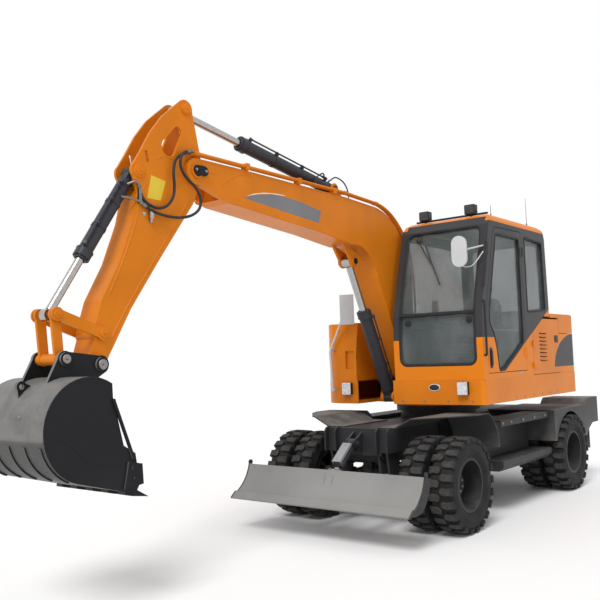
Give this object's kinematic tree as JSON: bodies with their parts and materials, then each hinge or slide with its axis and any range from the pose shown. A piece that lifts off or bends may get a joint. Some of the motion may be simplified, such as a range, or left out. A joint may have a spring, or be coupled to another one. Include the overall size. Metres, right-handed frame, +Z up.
{
  "type": "wheeled excavator",
  "caption": "Wheeled excavator with twin tyres, dozer blade, slewing upper body with glazed cab, gooseneck boom, arm and toothed bucket on a link mechanism.",
  "frame": {"origin": "ground level under the middle of the machine's length and width, with the upper body facing the blade", "axes": "+X forward towards the blade and bucket, +Y to the cab's side (the machine's left), +Z up"},
  "size_m": [7.462, 2.095, 3.6636],
  "materials": {
    "orange_paint": "satin yellow-orange paint, dusty",
    "grey_paint": "dark grey satin paint",
    "black_paint": "black paint",
    "rim_paint": "light grey rim paint",
    "blade_steel": "worn light grey paint",
    "rod_chrome": "polished hard chrome",
    "tyre": "dusty rubber",
    "glass": "lightly tinted glass",
    "seat_cloth": "woven seat cloth",
    "dark_plastic": "grained plastic",
    "bucket_steel": "worn black paint on steel"
  },
  "bodies": {
    "chassis": {"chassis_frame": "grey_paint", "mudguards": "grey_paint", "side_steps": "grey_paint", "front_axle": "black_paint", "rear_axle": "black_paint"},
    "steering_rod": {"steering_rod": "rod_chrome"},
    "knuckle_left": {"knuckle_left": "black_paint"},
    "knuckle_right": {"knuckle_right": "black_paint"},
    "wheel_front_left": {"wheels_front_left": "rim_paint", "tyres_front_left": "tyre"},
    "wheel_front_right": {"wheels_front_right": "rim_paint", "tyres_front_right": "tyre"},
    "wheel_rear_left": {"wheels_rear_left": "rim_paint", "tyres_rear_left": "tyre"},
    "wheel_rear_right": {"wheels_rear_right": "rim_paint", "tyres_rear_right": "tyre"},
    "blade": {"blade": "blade_steel"},
    "blade_cylinder_tube": {"blade_cylinder_tube": "black_paint"},
    "blade_cylinder_rod": {"blade_cylinder_rod": "rod_chrome"},
    "upper": {"swing_frame": "orange_paint", "counterweight": "orange_paint", "right_housing": "orange_paint", "engine": "black_paint", "cab_shell": "grey_paint", "cab_glass": "glass", "operator_seat": "seat_cloth", "cab_controls": "dark_plastic", "mirrors": "dark_plastic", "lamps": "dark_plastic"},
    "engine_hood": {"engine_hood": "orange_paint"},
    "service_door": {"service_door": "orange_paint"},
    "cab_door": {"cab_door": "grey_paint", "door_glass": "glass"},
    "boom": {"boom": "orange_paint", "boom_pipes": "orange_paint"},
    "boom_cylinder_tube": {"boom_cylinder_tube": "black_paint"},
    "boom_cylinder_rod": {"boom_cylinder_rod": "rod_chrome"},
    "arm_cylinder_tube": {"arm_cylinder_tube": "black_paint"},
    "arm_cylinder_rod": {"arm_cylinder_rod": "rod_chrome"},
    "arm": {"arm": "orange_paint"},
    "bucket_cylinder_tube": {"bucket_cylinder_tube": "black_paint"},
    "bucket_cylinder_rod": {"bucket_cylinder_rod": "rod_chrome"},
    "rocker": {"rocker": "orange_paint"},
    "bucket_link": {"bucket_link": "orange_paint"},
    "bucket": {"bucket": "bucket_steel"}
  },
  "joints": [
    {"name": "slew", "type": "hinge", "parent": "chassis", "child": "upper", "pos_m": [-1.401, 0, 1.061], "axis": [0, 0, 1], "continuous": true},
    {"name": "boom_lift", "type": "hinge", "parent": "upper", "child": "boom", "pos_m": [-0.951, -0.19, 1.47], "axis": [0, -1, 0], "range_deg": [-64, 28]},
    {"name": "arm_curl", "type": "hinge", "parent": "boom", "child": "arm", "pos_m": [2.189, -0.19, 3.1], "axis": [0, 1, 0], "range_deg": [-40, 65]},
    {"name": "bucket_curl", "type": "hinge", "parent": "arm", "child": "bucket", "pos_m": [3.129, -0.19, 1.62], "axis": [0, 1, 0], "range_deg": [-72, 74]},
    {"name": "blade_lift", "type": "hinge", "parent": "chassis", "child": "blade", "pos_m": [0.099, 0, 0.45], "axis": [0, -1, 0], "range_deg": [-27, 4]},
    {"name": "steer_left", "type": "hinge", "parent": "chassis", "child": "knuckle_left", "pos_m": [-0.081, 0.48, 0.43], "axis": [0, 0, 1], "range_deg": [-20, 20]},
    {"name": "steer_right", "type": "hinge", "parent": "chassis", "child": "knuckle_right", "pos_m": [-0.081, -0.48, 0.43], "axis": [0, 0, 1], "range_deg": [-20, 20]},
    {"name": "steer_rod_slide", "type": "slide", "parent": "chassis", "child": "steering_rod", "axis": [0, 1, 0], "range_m": [-0.072, 0.072]},
    {"name": "roll_front_left", "type": "hinge", "parent": "knuckle_left", "child": "wheel_front_left", "pos_m": [-0.081, 0.78, 0.43], "axis": [0, 1, 0], "continuous": true},
    {"name": "roll_front_right", "type": "hinge", "parent": "knuckle_right", "child": "wheel_front_right", "pos_m": [-0.081, -0.78, 0.43], "axis": [0, 1, 0], "continuous": true},
    {"name": "roll_rear_left", "type": "hinge", "parent": "chassis", "child": "wheel_rear_left", "pos_m": [-2.721, 0.78, 0.43], "axis": [0, 1, 0], "continuous": true},
    {"name": "roll_rear_right", "type": "hinge", "parent": "chassis", "child": "wheel_rear_right", "pos_m": [-2.721, -0.78, 0.43], "axis": [0, 1, 0], "continuous": true},
    {"name": "cab_door_swing", "type": "hinge", "parent": "upper", "child": "cab_door", "pos_m": [-1.517, 1.0203, 1.605], "axis": [0, 0, 1], "range_deg": [0, 95]},
    {"name": "service_door_swing", "type": "hinge", "parent": "upper", "child": "service_door", "pos_m": [-1.695, 1.0203, 1.46], "axis": [0, 0, -1], "range_deg": [0, 80]},
    {"name": "hood_lift", "type": "hinge", "parent": "upper", "child": "engine_hood", "pos_m": [-2.22547, 0, 2.015], "axis": [0, 1, 0], "range_deg": [0, 60]},
    {"name": "boom_cylinder_pivot", "type": "hinge", "parent": "upper", "child": "boom_cylinder_tube", "pos_m": [-0.711, -0.19, 1.18], "axis": [0, -1, 0], "range_deg": [-62.9, 27.8]},
    {"name": "boom_cylinder_stroke", "type": "slide", "parent": "boom_cylinder_tube", "child": "boom_cylinder_rod", "axis": [0.4446, 0, 0.8957], "range_m": [-0.389, 0.172]},
    {"name": "arm_cylinder_pivot", "type": "hinge", "parent": "boom", "child": "arm_cylinder_tube", "pos_m": [0.249, -0.19, 3.27], "axis": [0, 1, 0], "range_deg": [-4.8, 7.4]},
    {"name": "arm_cylinder_stroke", "type": "slide", "parent": "arm_cylinder_tube", "child": "arm_cylinder_rod", "axis": [0.9876, 0, 0.1572], "range_m": [-0.284, 0.46]},
    {"name": "bucket_cylinder_pivot", "type": "hinge", "parent": "arm", "child": "bucket_cylinder_tube", "pos_m": [2.729, -0.19, 3.02], "axis": [0, 1, 0], "range_deg": [-4.8, 4.9]},
    {"name": "bucket_cylinder_stroke", "type": "slide", "parent": "bucket_cylinder_tube", "child": "bucket_cylinder_rod", "axis": [0.5547, 0, -0.8321], "range_m": [-0.335, 0.344]},
    {"name": "blade_cylinder_pivot", "type": "hinge", "parent": "chassis", "child": "blade_cylinder_tube", "pos_m": [0.289, 0, 0.8], "axis": [0, -1, 0], "range_deg": [-20.2, 3.4]},
    {"name": "blade_cylinder_stroke", "type": "slide", "parent": "blade_cylinder_tube", "child": "blade_cylinder_rod", "axis": [0.7809, 0, -0.6247], "range_m": [-0.03, 0.182]},
    {"name": "rocker_swing", "type": "hinge", "parent": "arm", "child": "rocker", "pos_m": [3.079, -0.19, 1.83], "axis": [0, 1, 0], "range_deg": [-57.4, 59]},
    {"name": "link_swing", "type": "hinge", "parent": "rocker", "child": "bucket_link", "pos_m": [3.439, -0.19, 1.955], "axis": [0, 1, 0], "range_deg": [-44.2, 43.1]}
  ],
  "couplings": [
    {"joint": "steer_right", "follows": "steer_left", "ratio": 1},
    {"joint": "steer_rod_slide", "follows": "steer_left", "m_per_rad": -0.18758},
    {"joint": "boom_cylinder_pivot", "follows": "boom_lift", "ratio": 0.97542},
    {"joint": "boom_cylinder_stroke", "follows": "boom_lift", "m_per_rad": 0.3448},
    {"joint": "arm_cylinder_pivot", "follows": "arm_curl", "ratio": 0.1064},
    {"joint": "arm_cylinder_stroke", "follows": "arm_curl", "m_per_rad": 0.40169},
    {"joint": "bucket_cylinder_pivot", "follows": "bucket_curl", "ratio": 0.05944},
    {"joint": "bucket_cylinder_stroke", "follows": "bucket_curl", "m_per_rad": 0.26356},
    {"joint": "blade_cylinder_pivot", "follows": "blade_lift", "ratio": 0.72947},
    {"joint": "blade_cylinder_stroke", "follows": "blade_lift", "m_per_rad": -0.3767},
    {"joint": "rocker_swing", "follows": "bucket_curl", "ratio": 0.79029},
    {"joint": "link_swing", "follows": "bucket_curl", "ratio": -0.59107}
  ]
}
